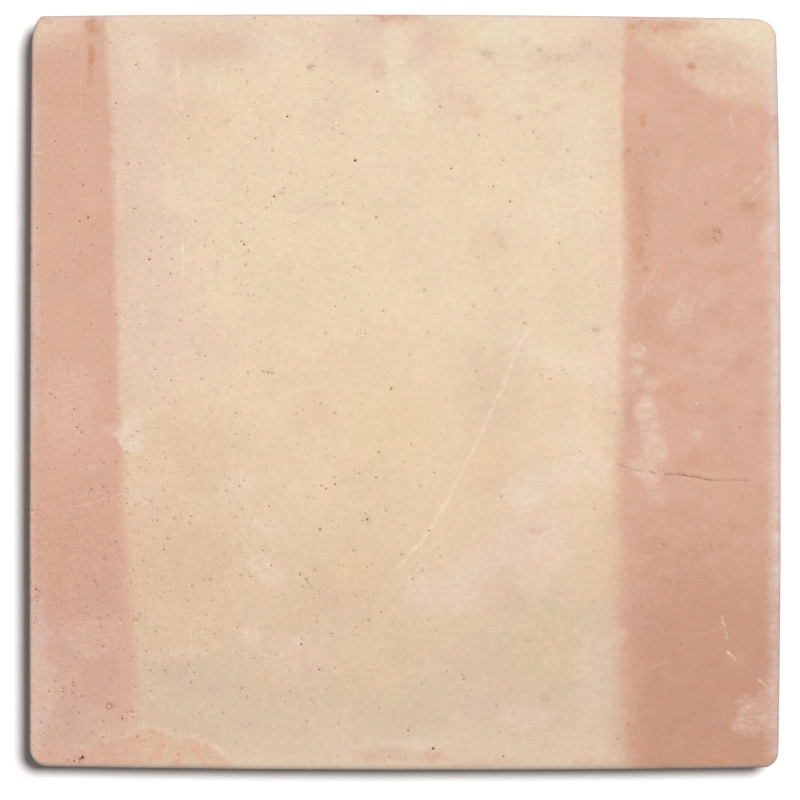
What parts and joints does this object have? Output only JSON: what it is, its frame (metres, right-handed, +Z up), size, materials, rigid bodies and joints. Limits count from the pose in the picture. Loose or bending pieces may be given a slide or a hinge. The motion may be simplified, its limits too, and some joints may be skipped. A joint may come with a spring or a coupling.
{
  "type": "terracotta floor tile",
  "caption": "Square hand-pressed terracotta floor tile with gently bowed sides, rounded corners, a worn rounded edge and a slightly crowned, unglazed face, laid flat as paving.",
  "frame": {"origin": "middle of the flat back, on the surface that the tile lies on", "axes": "+Z up out of the worn face, +X towards the east side and +Y towards the north side, so that the two pink bands run along Y"},
  "size_m": [0.3, 0.3016, 0.02],
  "materials": {
    "terracotta": "unglazed matt fired clay, cream in the middle with salmon pink bands down two sides"
  },
  "bodies": {
    "root": {"floor_tile": "terracotta"}
  },
  "joints": []
}
